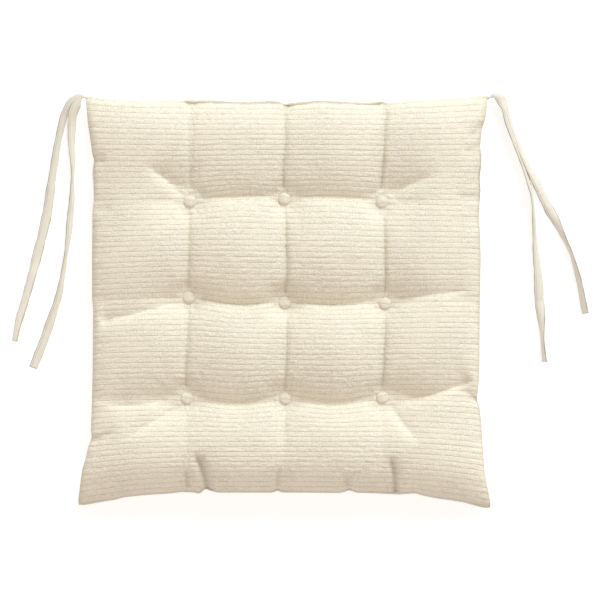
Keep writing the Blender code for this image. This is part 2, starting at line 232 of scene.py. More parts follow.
def read_off(x, marks, table):
    """The rows of a table at the places x, where its own rows are at the marks."""
    return np.stack([np.interp(x, marks, column) for column in table.T], -1)


def border(grid):
    """The outer points of a grid in order, anticlockwise from the front left."""
    return np.concatenate([grid[0, :-1], grid[:-1, -1], grid[-1, :0:-1], grid[:0:-1, 0]])


def smooth_noise(shape, cells):
    """Noise from -1 to 1 over a grid, with that many bumps along its two directions."""
    coarse = RNG.uniform(-1, 1, (cells[0] + 1, cells[1] + 1))
    first, second = (catmull(c + 1, np.linspace(0, c, n)) for c, n in zip(cells, shape))
    return first @ coarse @ second.T


# ---- camera, light and floor ----
def camera():
    data = bpy.data.cameras.new("camera")
    data.lens = LENS
    data.sensor_width = 36
    data.clip_start = 0.1
    data.clip_end = 20
    ob = link(bpy.data.objects.new("camera", data))
    ob.location = CAMERA_PLACE
    bpy.context.scene.camera = ob


def sun(name, toward, energy, angle, colour):
    """Parallel light that comes from a direction, as soft as its angle in degrees."""
    data = bpy.data.lights.new(name, "SUN")
    data.energy = energy
    data.angle = math.radians(angle)
    data.color = colour
    ob = link(bpy.data.objects.new(name, data))
    ob.location = Vector(toward)
    ob.rotation_euler = (-Vector(toward)).to_track_quat("-Z", "Y").to_euler()


def studio():
    world = bpy.data.worlds.new("studio")
    world.use_nodes = True
    background = world.node_tree.nodes["Background"]
    background.inputs["Color"].default_value = (1.0, 0.90, 0.84, 1)
    background.inputs["Strength"].default_value = 0.792
    scene = bpy.context.scene
    scene.world = world
    scene.view_settings.view_transform = "Standard"
    # low from behind the pad and a little to its right
    sun("key", toward=(0.55, 1.40, 0.86), energy=2.09, angle=26, colour=(0.87, 1.0, 1.05))
    bpy.ops.mesh.primitive_plane_add(size=12)
    floor = bpy.context.object
    floor.name = "floor"
    material = bpy.data.materials.new("floor_paper")
    material.use_nodes = True
    shader = material.node_tree.nodes["Principled BSDF"]
    shader.inputs["Base Color"].default_value = (0.50, 0.50, 0.50, 1)
    shader.inputs["Roughness"].default_value = 0.9
    shader.inputs["Emission Color"].default_value = (1, 1, 1, 1)
    shader.inputs["Emission Strength"].default_value = 0.62
    floor.data.materials.append(material)


# ---- materials ----
class Paint:
    """A material being built: node() adds a node, math() a Math node."""

    def __init__(self, name, roughness):
        self.material = bpy.data.materials.new(name)
        self.material.use_nodes = True
        self.tree = self.material.node_tree
        self.shader = self.tree.nodes["Principled BSDF"]
        self.shader.inputs["Roughness"].default_value = roughness

    def node(self, kind, settings=(), **inputs):
        made = self.tree.nodes.new(kind)
        for key, value in dict(settings).items():
            setattr(made, key, value)
        for key, value in inputs.items():
            self.feed(made.inputs[key.replace("_", " ")], value)
        return made

    def feed(self, socket, value):
        if isinstance(value, bpy.types.NodeSocket):
            self.tree.links.new(value, socket)
        else:
            socket.default_value = value

    def math(self, operation, a, b=0.0, c=0.0, clamp=False):
        made = self.tree.nodes.new("ShaderNodeMath")
        made.operation = operation
        made.use_clamp = clamp
        for socket, value in zip(made.inputs, (a, b, c)):
            self.feed(socket, value)
        return made.outputs[0]

    def ramp(self, value, low, high, out_low=0.0, out_high=1.0):
        made = self.node("ShaderNodeMapRange", {"interpolation_type": "SMOOTHSTEP"})
        for socket, number in zip(made.inputs, (value, low, high, out_low, out_high)):
            self.feed(socket, number)
        return made.outputs[0]

    def mix(self, share, first, second, blend="MIX"):
        made = self.tree.nodes.new("ShaderNodeMix")
        made.data_type = "RGBA"
        made.blend_type = blend
        for name, value in (("Factor_Float", share), ("A_Color", first), ("B_Color", second)):
            socket = next(s for s in made.inputs if s.identifier == name)
            self.feed(socket, value)
        return next(s for s in made.outputs if s.identifier == "Result_Color")

    def mapped(self, attribute, scale):
        """The attribute's vector, in millimetres, times a scale."""
        source = self.node("ShaderNodeAttribute", {"attribute_name": attribute})
        made = self.node("ShaderNodeVectorMath", {"operation": "MULTIPLY"})
        self.feed(made.inputs[0], source.outputs["Vector"])
        made.inputs[1].default_value = scale
        return made.outputs[0]

    def noise(self, vector, scale, detail=2.0, roughness=0.5):
        made = self.node("ShaderNodeTexNoise")
        self.feed(made.inputs["Vector"], vector)
        for key, value in (("Scale", scale), ("Detail", detail), ("Roughness", roughness)):
            made.inputs[key].default_value = value
        return made.outputs["Fac"]

    def voronoi(self, vector):
        made = self.node("ShaderNodeTexVoronoi", {"feature": "SMOOTH_F1"})
        self.feed(made.inputs["Vector"], vector)
        made.inputs["Scale"].default_value = 1
        made.inputs["Smoothness"].default_value = 0.6
        return made.outputs["Distance"]

    def bump(self, height, distance, strength):
        made = self.tree.nodes.new("ShaderNodeBump")
        made.inputs["Strength"].default_value = strength
        made.inputs["Distance"].default_value = distance
        self.feed(made.inputs["Height"], height)
        self.tree.links.new(made.outputs["Normal"], self.shader.inputs["Normal"])

    def colour(self, value):
        self.feed(self.shader.inputs["Base Color"], value)

    def fabric(self, sheen):
        self.shader.inputs["Sheen Weight"].default_value = sheen
        self.shader.inputs["Sheen Roughness"].default_value = 0.5
        self.shader.inputs["Specular IOR Level"].default_value = 0.2


def ribbed_cloth(name, light, dark, groove_share):
    """Ivory bouclé with cross ribs: pebbly bands with a thin groove between them, painted darker
    as its shade.

    The attribute "cut" holds each point's place on the flat cloth, in millimetres, and in Z how
    much painted shade it takes near the seam and in a crease, where the colour is darkened to
    stand in for shade.
    """
    paint = Paint(name, 0.95)
    place = paint.mapped("cut", (1, 1, 1))
    parts = paint.node("ShaderNodeSeparateXYZ", Vector=place)
    wander = paint.noise(paint.mapped("cut", (0.05, 0.3, 1)), 1.0, 2.0)
    line = paint.math("ADD", paint.math("DIVIDE", parts.outputs["Y"], RIB_PITCH),
                      paint.math("MULTIPLY", paint.math("SUBTRACT", wander, 0.5), 0.06))
    groove = paint.math("ABSOLUTE", paint.math("SUBTRACT", paint.math("FRACT", line), 0.5))
    groove = paint.ramp(groove, 0.38, 0.5)
    broken = paint.noise(paint.mapped("cut", (0.12, 0.5, 1)), 1.0, 2.0)
    groove = paint.math("MULTIPLY", groove, paint.ramp(broken, 0.30, 0.60, 0.35, 1.0))
    loops = paint.voronoi(paint.mapped("cut", (0.85, 1.05, 1)))
    grain = paint.noise(place, 0.62, 3.0, 0.7)
    tone = paint.noise(place, 0.02, 2.0)
    flecks = paint.noise(paint.mapped("cut", (0.7, 1.1, 1)), 1.0, 2.0)
    shade = paint.mix(paint.ramp(loops, 0.25, 0.75), light, dark)
    shade = paint.mix(paint.ramp(grain, 0.45, 0.60, 0.0, 0.95), shade, dark)
    shade = paint.mix(paint.ramp(flecks, 0.55, 0.75, 0.0, 0.5), shade, light)
    shade = paint.mix(paint.ramp(tone, 0.35, 0.65, 0.0, 0.30), shade,
                      (light[0], light[1] * 0.965, light[2] * 0.93, 1))
    # painted shade in the grooves between the ribs
    groove_shade = (dark[0] * 0.80, dark[1] * 0.78, dark[2] * 0.74, 1)
    shade = paint.mix(paint.math("MULTIPLY", groove, groove_share), shade, groove_shade)
    # painted shade: the Z of the cut attribute darkens the colour along the seam and in the
    # creases
    painted_shade = (dark[0] * 0.70, dark[1] * 0.68, dark[2] * 0.66, 1)
    paint.colour(paint.mix(paint.math("MULTIPLY", parts.outputs["Z"], 0.6), shade, painted_shade))
    height = paint.math("SUBTRACT", 1.0, loops)
    height = paint.math("ADD", height, paint.math("MULTIPLY", grain, 0.8))
    height = paint.math("SUBTRACT", height, paint.math("MULTIPLY", groove, 0.7))
    paint.bump(height, 0.00055, 0.8)
    paint.fabric(0.12)
    return paint.material


def tape_cloth():
    """Plain-woven cotton tape; "run" holds millimetres along it, across it and round it."""
    paint = Paint("cotton_tape_woven", 0.88)
    place = paint.mapped("run", (1, 1, 1))
    parts = paint.node("ShaderNodeSeparateXYZ", Vector=place)
    warp = paint.math("SINE", paint.math("MULTIPLY", parts.outputs["Y"], 2 * math.pi / 0.55))
    weft = paint.math("SINE", paint.math("MULTIPLY", parts.outputs["X"], 2 * math.pi / 0.62))
    weave = paint.math("MULTIPLY", warp, weft)
    grain = paint.noise(place, 1.4, 3.0, 0.6)
    tone = paint.noise(paint.mapped("run", (0.04, 0.2, 1)), 1.0, 2.0)
    light, dark = (0.965, 0.945, 0.850, 1), (0.725, 0.685, 0.575, 1)
    shade = paint.mix(paint.ramp(weave, -0.9, 0.7), dark, light)
    shade = paint.mix(paint.ramp(grain, 0.45, 0.7, 0.0, 0.5), shade, dark)
    shade = paint.mix(paint.ramp(tone, 0.3, 0.7, 0.0, 0.30), shade, (0.85, 0.80, 0.68, 1))
    # darker folded edges, and a darker line along each row of stitches
    off = paint.math("ABSOLUTE", parts.outputs["Y"])
    shade = paint.mix(paint.ramp(off, 3.6, 4.5, 0.0, 0.90), shade, (0.44, 0.40, 0.31, 1))
    line = paint.math("ABSOLUTE", paint.math("SUBTRACT", parts.outputs["Y"], 2.7))
    shade = paint.mix(paint.ramp(line, 0.9, 0.2, 0.0, 0.45), shade, (0.58, 0.52, 0.41, 1))
    paint.colour(shade)
    height = paint.math("ADD", paint.math("MULTIPLY", weave, 0.5), grain)
    paint.bump(height, 0.0002, 0.8)
    paint.fabric(0.1)
    return paint.material


def thread_paint(name, light, dark):
    """Twisted cotton thread, from the object's own place."""
    paint = Paint(name, 0.8)
    source = paint.node("ShaderNodeTexCoord").outputs["Object"]
    grain = paint.noise(source, 2600.0, 3.0, 0.6)
    fibre = paint.noise(source, 900.0, 2.0)
    paint.colour(paint.mix(paint.ramp(grain, 0.35, 0.65), light, dark))
    paint.bump(paint.math("ADD", grain, fibre), 0.0002, 0.7)
    paint.fabric(0.1)
    return paint.material


def fibre_paint():
    """Polyester wadding: white, with crossing fibres."""
    paint = Paint("polyester_wadding", 0.95)
    source = paint.node("ShaderNodeTexCoord").outputs["Object"]
    fine = paint.noise(source, 700.0, 5.0, 0.7)
    wide = paint.noise(source, 45.0, 3.0)
    shade = paint.mix(paint.ramp(fine, 0.35, 0.7), (0.88, 0.88, 0.87, 1), (0.76, 0.76, 0.76, 1))
    paint.colour(paint.mix(paint.ramp(wide, 0.4, 0.7, 0, 0.4), shade, (0.9, 0.9, 0.89, 1)))
    paint.bump(paint.math("ADD", fine, wide), 0.0008, 0.8)
    paint.fabric(0.3)
    return paint.material


def steel_paint():
    """Pressed steel of the button backs, lightly brushed."""
    paint = Paint("button_back_steel_brushed", 0.38)
    source = paint.node("ShaderNodeTexCoord").outputs["Object"]
    stretched = paint.node("ShaderNodeMapping", Vector=source)
    stretched.inputs["Scale"].default_value = (300, 9000, 300)
    lines = paint.noise(stretched.outputs[0], 1.0, 2.0)
    paint.shader.inputs["Metallic"].default_value = 1.0
    paint.colour(paint.mix(lines, (0.60, 0.60, 0.59, 1), (0.50, 0.50, 0.49, 1)))
    paint.bump(lines, 0.00003, 0.5)
    return paint.material


# ---- the pad's form ----
def sewn(u, v):
    """X and Y of plan parameters from -1 to 1, blended from the four sides."""
    c = {k: np.array(p, float) for k, p in TIPS.items()}
    s, t = ((u + 1) / 2)[..., None], ((v + 1) / 2)[..., None]
    bow_u = (1 - np.abs(u) ** PULL_POWER)[..., None]
    bow_v = (1 - np.abs(v) ** PULL_POWER)[..., None]
    low = c["fl"] + (c["fr"] - c["fl"]) * s
    high = c["rl"] + (c["rr"] - c["rl"]) * s
    front = low + bow_u * np.array([0, PULL["front"]])
    rear = high - bow_u * np.array([0, PULL["rear"]])
    left = c["fl"] + (c["rl"] - c["fl"]) * t + bow_v * np.array([PULL["left"], 0])
    right = c["fr"] + (c["rr"] - c["fr"]) * t - bow_v * np.array([PULL["right"], 0])
    return front + (rear - front) * t + left + (right - left) * s - (low + (high - low) * t)


def plan(u, v):
    """The sewn plan, shifted so that each tuft line crossing lands on its button."""
    point = sewn(u, v)
    for j, row in enumerate(ROWS):
        for i, column in enumerate(COLUMNS):
            hat_u = np.maximum(0, 1 - np.abs(u - TUFT_LINES[i]) / TUFT_AT)
            hat_v = np.maximum(0, 1 - np.abs(v - TUFT_LINES[j]) / TUFT_AT)
            here = sewn(np.array(TUFT_LINES[i]), np.array(TUFT_LINES[j]))
            move = np.array(TUFTS[f"{row}_{column}"]) - here
            point = point + (hat_u * hat_v)[..., None] * move
    return point


def line_distance(x):
    return np.min([np.abs(x - line) for line in TUFT_LINES], axis=0) * HALF_SIDE


def from_seam(u, v):
    """Distance to the nearest side."""
    return (1 - np.maximum(np.abs(u), np.abs(v))) * HALF_SIDE


def seam_height(u, v):
    return SEAM_AT_SIDES - (SEAM_AT_SIDES - SEAM_AT_TIPS) * np.abs(u * v) ** 3


def start_heights(u, v):
    """Top and underside of the bag before it is filled."""
    swell = (1 - np.abs(u) ** PUFF_POWER) * (1 - np.abs(v) ** PUFF_POWER)
    swell = np.sqrt(np.clip(swell, 0, None))
    seam = seam_height(u, v)
    # the hollows along the rows and columns of tufts, which run out towards the sides
    row = np.clip(1 - line_distance(v) / HOLLOW_REACH, 0, 1) ** 2
    row = row * (1 - 0.75 * ease((np.abs(u) - 0.5) / 0.3))
    column = np.clip(1 - line_distance(u) / HOLLOW_REACH, 0, 1) ** 2
    column = column * (1 - ease((np.abs(u) - 0.62) / 0.3))
    column = column * (1 - 0.6 * ease((-v - 0.5) / 0.25)) * (1 - 0.3 * ease((v - 0.5) / 0.25))
    away = np.hypot(line_distance(u), line_distance(v))
    tuft = np.exp(-(np.maximum(0, away - 5) / TUFT_SPREAD) ** 2)
    top = seam + (CROWN - seam) * swell - ROW_DROP * row - COLUMN_DROP * column * (1 - row)
    top = np.maximum(top, seam)
    top = top + (TOP_SEAT - top) * tuft
    base = seam * (1 - np.minimum(1.1, 1.35 * swell * (1 - 0.3 * np.maximum(row, column))))
    base = base + (BASE_SEAT - base) * np.exp(-(np.maximum(0, away - 5) / BASE_SPREAD) ** 2)
    return seam, top, base


class Bag:
    """The simulated bag: its two grids share the points of the sewn edge."""

    def __init__(self):
        marks = np.linspace(-1, 1, SIM_STEPS + 1)
        knots = (-1, *TUFT_LINES, 1)
        g = np.interp(marks, (-1, -0.5, 0, 0.5, 1), knots)
        self.n = SIM_STEPS + 1
        self.v, self.u = np.meshgrid(g, g, indexing="ij")
        self.edge = (np.abs(self.u) > 0.9999) | (np.abs(self.v) > 0.9999)
        flat_x, flat_y = np.interp(self.u, knots, FLAT_X), np.interp(self.v, knots, FLAT_Y)
        self.cut = np.dstack([flat_x, flat_y])
        self.xy = plan(self.u, self.v)
        seam, top, base = start_heights(self.u, self.v)
        self.top = np.dstack([self.xy, np.where(self.edge, seam, top)])
        self.base = np.dstack([self.xy, np.where(self.edge, seam, base)])

    def mesh(self, top_index, base_index):
        """The bag as sewn, and its flat cut, which is the shape that the cloth tries to keep."""
        verts = np.concatenate([self.top.reshape(-1, 3), self.base[~self.edge]])
        faces = grid_faces(top_index) + grid_faces(base_index, True)
        bag = mesh_object("bag", verts, faces, smooth=False)
        off = np.where(self.edge, 0, 1.0)[..., None]
        flat_top = np.concatenate([self.cut, off], -1).reshape(-1, 3)
        flat_base = np.concatenate([self.cut, -off], -1)[~self.edge]
        bag.shape_key_add(name="sewn")
        cut = bag.shape_key_add(name="cut")
        flat = np.concatenate([flat_top, flat_base]) * MM
        cut.data.foreach_set("co", flat.astype(np.float32).ravel())
        cut.value = 0
        return bag, cut

    def pin(self, bag, top_index, base_index):
        """Holds the tufts and the tips, and less firmly the creases and the seam."""
        group = bag.vertex_groups.new(name="pin")

        def hold(points, weight):
            group.add([int(k) for k in points], float(weight), "REPLACE")

        seats = np.zeros((self.n, self.n), bool)
        for x, y in TUFTS.values():
            seats |= np.hypot(self.xy[..., 0] - x, self.xy[..., 1] - y) < TUFT_SEAT
        rows = (line_distance(self.v) < 0.5) & ~self.edge
        columns = (line_distance(self.u) < 0.5) & (np.abs(self.v) < 0.95)
        tips = self.edge & (np.abs(self.u * self.v) > 0.97)
        hold(top_index[columns], COLUMN_PIN)
        for point, u in zip(top_index[rows], self.u[rows]):
            hold([point], ROW_PIN * (1 - ease((abs(u) - 0.50) / 0.25)))
        hold(top_index[self.edge], EDGE_PIN)
        for index in (top_index, base_index):
            hold(index[seats], 1)
        hold(top_index[tips], 1)

    def simulate(self):
        """Fills the bag: Cloth runs on it, and its grids take the result."""
        count = self.n * self.n
        top_index = np.arange(count).reshape(self.n, self.n)
        base_index = top_index.copy()
        base_index[~self.edge] = count + np.arange((~self.edge).sum())
        bag, cut = self.mesh(top_index, base_index)
        self.pin(bag, top_index, base_index)
        cloth = bag.modifiers.new("cloth", "CLOTH")
        settings = cloth.settings
        settings.quality = 6
        settings.mass = 0.3
        settings.tension_stiffness = settings.compression_stiffness = 15
        settings.shear_stiffness = 5
        settings.bending_stiffness = 0.5
        settings.use_pressure = True
        settings.uniform_pressure_force = 4
        settings.vertex_group_mass = "pin"
        settings.pin_stiffness = 1
        settings.rest_shape_key = cut
        settings.effector_weights.gravity = 0
        settings.air_damping = 1
        cloth.collision_settings.use_collision = False
        cloth.collision_settings.use_self_collision = False
        cloth.point_cache.frame_start = 1
        cloth.point_cache.frame_end = SIM_FRAMES
        for number in range(1, SIM_FRAMES + 1):
            bpy.context.scene.frame_set(number)
        evaluated = bag.evaluated_get(bpy.context.evaluated_depsgraph_get()).to_mesh()
        co = np.empty(len(evaluated.vertices) * 3, np.float32)
        evaluated.vertices.foreach_get("co", co)
        co = co.reshape(-1, 3).astype(float) / MM
        self.top, self.base = co[top_index], co[base_index]
        bpy.data.objects.remove(bag, do_unlink=True)
        bpy.context.scene.frame_set(1)


# Fold lines on the top, as (route in mm, depth, reach to the left of the route, reach to its
# right, share of its length over which it starts, share over which it ends).
FOLDS = (
    # creases between the buttons of a row
    (((-88, 99.5), (-72, 102.5), (-48, 103.5), (-20, 104.5), (-6, 102.5)), 3.6, 9, 5, 0.08, 0.08),
    (((5, 101.5), (25, 103.5), (50, 103.5), (76, 101), (89, 99.5)), 3.6, 9, 5, 0.08, 0.08),
    (((-88, 3.5), (-62, -1), (-36, -3), (-12, 0.5), (-5, -0.5)), 3.6, 9, 4, 0.08, 0.08),
    (((6, 0.5), (26, -1), (48, -2), (72, 0.5), (92, 0)), 3.6, 9, 4, 0.08, 0.08),
    (((-90, -94.5), (-72, -97), (-50, -99), (-24, -98), (-5, -95)), 3.6, 9, 5, 0.08, 0.08),
    (((6, -94.5), (26, -97.5), (48, -99.5), (72, -97.5), (90, -93.5)), 3.6, 9, 5, 0.08, 0.08),
    # from the outer buttons to the sides
    (((-93, 98.5), (-98, 104), (-117, 121), (-140, 137)), 9, 5, 15, 0.3, 0.45),
    (((-94, 4.5), (-100, 1.5), (-129, -6.5), (-158, -14), (-188, -20.5)), 6.5, 4.5, 13, 0.2, 0.15),
    (((-96, -94), (-103, -93), (-128, -98), (-156, -100.5), (-186, -98)), 5, 5.5, 12, 0.2, 0.35),
    (((-96, -94), (-102, -101), (-129, -117), (-152, -131.5), (-161, -138)), 6, 4, 13, 0.24, 0.45),
    (((95, 98.5), (102, 105.5), (128, 117.5), (153, 128)), 7.5, 15, 5, 0.28, 0.5),
    (((98, -1), (104, 0.5), (124, 5), (150, 8), (186, 12)), 5.5, 13, 4.5, 0.2, 0.3),
    (((95.5, -93.5), (126, -93.5), (147, -89.5), (168, -82.5), (187, -75)), 8, 13, 4, 0.2, 0.15),
    (((95.5, -93.5), (103, -102), (113, -116.5), (122, -127), (134, -141)),
     5.5, 12, 4, 0.28, 0.45),
)
# The narrow creases along the columns.
COLUMN_FOLDS = (
    (((-94, 93), (-94, 62), (-94.5, 36), (-94.5, 12)), 2.2, 1.8, 2.4, 0.1, 0.05),
    (((-94, -3), (-96, -34), (-97, -62), (-97, -86)), 2.4, 1.8, 2.4, 0.1, 0.05),
    (((-94, 192), (-95, 165), (-94, 135), (-93, 108)), 1.3, 2.5, 2.5, 0.3, 0.05),
    (((-1, 194), (0, 160), (-2, 132), (-1, 109)), 3, 1.8, 2.2, 0.06, 0.05),
    (((0, 93), (1, 60), (2, 30), (0, 7)), 2.6, 1.8, 2.2, 0.15, 0.05),
    (((1, -9), (2, -36), (1, -60), (0, -87)), 2.2, 1.8, 2.2, 0.15, 0.05),
    (((1, -102), (0, -118), (-1, -134), (-2, -150)), 2, 2.2, 2.2, 0.05, 0.6),
    (((100, 192), (97, 165), (96, 135), (93, 107)), 3, 1.8, 2.4, 0.1, 0.05),
    (((97, 90), (97, 60), (98, 32), (98, 7)), 2.6, 1.8, 2.4, 0.15, 0.05),
    (((98, -9), (97, -34), (96, -60), (95, -86)), 2.6, 1.8, 2.4, 0.15, 0.05),
)

# The same for short folds that run into the seam.
PUCKERS = (
    (((-89, -144), (-84.8, -153.4), (-79, -170), (-75, -186)), 5.6, 5, 2.6, 0.3, 0.04),
    (((-98, -161), (-96, -172), (-94, -182)), 2.8, 3.5, 3.5, 0.4, 0.15),
    (((-4.5, -158), (-7, -172), (-8, -188)), 2.8, 2.8, 2.8, 0.35, 0.05),
    (((58.5, -166), (61.5, -178), (63.4, -187)), 3.4, 3, 3, 0.4, 0.05),
    (((101, -148), (104.3, -157.5), (107, -172), (108.5, -187)), 5.2, 4, 3, 0.3, 0.05),
    (((82, -171), (83.6, -178), (84.5, -187)), 1.6, 3, 3, 0.4, 0.05),
    (((122, -177), (125, -184), (127.5, -190)), 2.2, 4, 3, 0.4, 0.05),
    (((-160, -122), (-176, -130), (-184, -133), (-191, -134)), 2.6, 5, 4, 0.5, 0.05),
    (((-172, 137), (-182, 139), (-190, 139.8)), 2.2, 4, 4, 0.4, 0.05),
    (((164, -83), (177, -88), (186, -94), (191, -97)), 3, 5, 4, 0.4, 0.05),
    (((172, 146), (182, 150), (192, 153)), 1.8, 4, 5, 0.4, 0.05),
    (((178, 158), (185, 165.6), (191, 171), (196, 176)), 2.6, 4, 3.5, 0.4, 0.1),
    (((164, 103.5), (178, 103), (192, 103)), 1.8, 4, 3, 0.4, 0.05),
    (((-164, 91), (-178, 92), (-190, 92.5)), 1.5, 5, 6, 0.4, 0.05),
    (((160, 78), (176, 82), (191, 84)), 1.2, 5, 4, 0.5, 0.05),
    (((-150, 196), (-148, 188), (-143, 180)), 1, 4, 4, 0.05, 0.6),
    (((52, 197), (54, 188), (58, 178)), 0.9, 4, 4, 0.05, 0.6),
    # the lip of the opening that is sewn by hand
    (((-99, 193.6), (-70, 194.4), (-35, 194), (-5, 193.6)), 0.8, 1.3, 1.5, 0.03, 0.03),
    (((0, 193.4), (30, 194.2), (60, 194), (97, 193.4)), 0.8, 1.3, 1.5, 0.03, 0.03),
)

# How far the sewn outline stands out from its smooth line: (place along the side, mm out).
OUTLINE = {
    "left": (
        (-200, 2.2), (-165, 2.6), (-152, 0.2), (-143, -0.7), (-133, -3.7), (-126, -2.1),
        (-90, -1.2), (-55, -0.9), (-8, -0.1), (4, 1.2), (45, 1.9), (88, 2.2), (104, 0.6),
        (126, 1.6), (133, 0.7), (140, -0.6), (146, 1), (160, 1.9), (175, 2.9), (200, 2.5),
    ),
    "right": (
        (-200, 1), (-190, 0), (-170, -1.8), (-120, -1.5), (-103, -2.6), (-96, -5), (-80, -2.9),
        (-60, -1.7), (-30, -1.2), (0, -0.6), (43, 0.6), (70, 0), (81, -1.2), (110, 0.3),
        (122, -0.8), (134, 0.3), (146, 0), (153, -1.8), (170, -1.3), (180, 1), (200, 1.5),
    ),
    "front": (
        (-203, 2.2), (-167, 2), (-160, 0.5), (-113, 0), (-102, -1), (-90, -0.4), (-84, 1.2),
        (-78, -4), (-73, -1.6), (-66, 0.2), (-12, 0.2), (-7.5, -2), (-3, 0), (55, 0), (63, -2.9),
        (70, -0.5), (112, 0), (128, -2.3), (136, -0.4), (150, 1.1), (175, 1.5), (190, 3),
        (203, 3.5),
    ),
    "rear": (
        (-195, 2.5), (-180, 0.5), (-150, 0.2), (-111, 2.1), (-75, 1.6), (-46, 0.3), (-35, 0),
        (-17, 1.4), (-5, 1), (0, -1.6), (10, -0.3), (33, 1.8), (55, 0.4), (84, -0.5), (95, 0.9),
        (101, -0.7), (112, 0.2), (131, 1.7), (143, 0.9), (155, 2.2), (175, 2.2), (196, 2.7),
    ),
}
# How far the crease between two buttons of a row bows towards the rear.
ROW_BOW = {"rear": (3.0, 2.0), "centre": (-4.0, -2.0), "front": (-4.5, -4.5)}


def to_route(x, y, route):
    """Distance to a broken line, positive on its left, and the share of its length there."""
    route = np.array(route, float)
    lengths = np.linalg.norm(np.diff(route, axis=0), axis=1)
    total, gone = lengths.sum(), 0.0
    best = np.full(x.shape, 1e9)
    side, share = np.zeros(x.shape), np.zeros(x.shape)
    for a, b, length in zip(route, route[1:], lengths):
        d = (b - a) / length
        t = np.clip((x - a[0]) * d[0] + (y - a[1]) * d[1], 0, length)
        off_x, off_y = x - a[0] - t * d[0], y - a[1] - t * d[1]
        away = np.hypot(off_x, off_y)
        nearer = away < best
        best = np.where(nearer, away, best)
        side = np.where(nearer, np.sign(d[0] * off_y - d[1] * off_x), side)
        share = np.where(nearer, (gone + t) / total, share)
        gone += length
    return best, side, share


def smoothed(route, parts=6):
    """More points on a Catmull-Rom curve through the route's own."""
    p = np.array(route, float)
    p = np.vstack([2 * p[0] - p[1], p, 2 * p[-1] - p[-2]])
    made = []
    for p0, p1, p2, p3 in zip(p, p[1:], p[2:], p[3:]):
        for t in np.arange(parts) / parts:
            made.append(0.5 * (2 * p1 + (p2 - p0) * t + (2 * p0 - 5 * p1 + 4 * p2 - p3) * t**2
                               + (3 * p1 - p0 - 3 * p2 + p3) * t**3))
    return np.array([*made, p[-2]])


def fold_depth(x, y, folds):
    """How far the folds draw the surface down."""
    down = np.zeros(x.shape)
    for route, depth, left, right, start, end in folds:
        line = smoothed(route)
        low, high = line.min(0) - 5 * max(left, right), line.max(0) + 5 * max(left, right)
        near = (x > low[0]) & (x < high[0]) & (y > low[1]) & (y < high[1])
        away, side, share = to_route(x[near], y[near], line)
        reach = np.where(side > 0, left, right)
        away = np.sqrt(away**2 + 0.8**2) - 0.8
        fade = ease(share / start) * ease((1 - share) / end)
        down[near] += depth * fade * np.exp(-away / reach)
    return down


def shape_plan(x, y, u, v):
    """Shifts in X and Y that give the outline its notches and the rows their bow."""
    dx, dy = np.zeros(x.shape), np.zeros(x.shape)
    for side, marks in OUTLINE.items():
        place, out = np.array(marks, float).T
        across, along = (u, y) if side in ("left", "right") else (v, x)
        sign = -1 if side in ("left", "front") else 1
        near = np.clip(1 - (1 - sign * across) * HALF_SIDE / OUTLINE_REACH, 0, 1) ** 2
        shift = sign * near * np.interp(along, place, out)
        if side in ("left", "right"):
            dx += shift
        else:
            dy += shift
    # the front corners are turned out bluntly
    tip = np.exp(-(((1 - np.abs(u)) ** 2 + (1 + v) ** 2) * (HALF_SIDE / 3.5) ** 2))
    dx -= 1.3 * np.sign(u) * tip
    dy += 1.6 * tip
    for line, row in zip(TUFT_LINES, ROWS):
        near = np.exp(-((v - line) * HALF_SIDE / 24) ** 2)
        for k, bow in enumerate(ROW_BOW[row]):
            span = np.clip((u - TUFT_LINES[k]) / (TUFT_LINES[k + 1] - TUFT_LINES[k]), 0, 1)
            dy += bow * near * np.sin(np.pi * span) ** 2
    return dx, dy


def lean(v):
    """The rear puffs are highest near the rear edge, and the front ones near the front."""
    rear = np.clip((v - TUFT_AT) / (1 - TUFT_AT), 0, 1)
    front = np.clip((-TUFT_AT - v) / (1 - TUFT_AT), 0, 1)
    return -2.3 * np.sin(2 * np.pi * rear) + 6.6 * np.sin(np.pi * front**1.75) ** 1.2


def gathers(x, y, u, v):
    """Small puckers along the seam and short pleats round the buttons."""
    out = from_seam(u, v)
    ring = np.where(np.abs(u) > np.abs(v), y, x)
    waves = sum(
        size * np.sin(2 * np.pi * ring / pitch + RNG.uniform(0, 6.28))
        for size, pitch in ((0.30, 9.3), (0.26, 14.1), (0.34, 23.7), (0.2, 6.7))
    )
    made = waves * np.exp(-out / 9) * ease(out / 2.5)
    for bx, by in TUFTS.values():
        away = np.hypot(x - bx, y - by)
        angle = np.arctan2(y - by, x - bx)
        pleats = sum(
            size * np.sin(count * angle + RNG.uniform(0, 6.28))
            for size, count in ((0.18, 9), (0.14, 13), (0.16, 5))
        )
        made += pleats * np.exp(-((away - 12.0) / 4.5) ** 2)
        made += 0.45 * np.exp(-((away - 8.8) / 2.4) ** 2)
    return made


def above_buttons(panel):
    """Lifts the panel's points in place where a fold would go below a button's seat."""
    x, y, z = np.moveaxis(panel, -1, 0)
    for bx, by in TUFTS.values():
        away = np.hypot(x - bx, y - by)
        least = TOP_SEAT + 0.02 * np.maximum(away - 7, 0)
        over = z - least
        held = least + 0.5 * (over + np.sqrt(over**2 + 1.2))
        z += (held - z) * ease((36 - away) / 18)


def off_buttons(x, y):
    """How clear a point is of the buttons, from 0 to 1: the folds run out beside them."""
    near = [np.hypot(x - bx, y - by) for bx, by in TUFTS.values()]
    return 1 - np.exp(-(np.maximum(np.min(near, axis=0) - 5, 0) / 6.5) ** 2)


def normals(p):
    across = np.gradient(p, axis=1)
    along = np.gradient(p, axis=0)
    n = np.cross(across, along)
    return n / (np.linalg.norm(n, axis=-1, keepdims=True) + 1e-12)


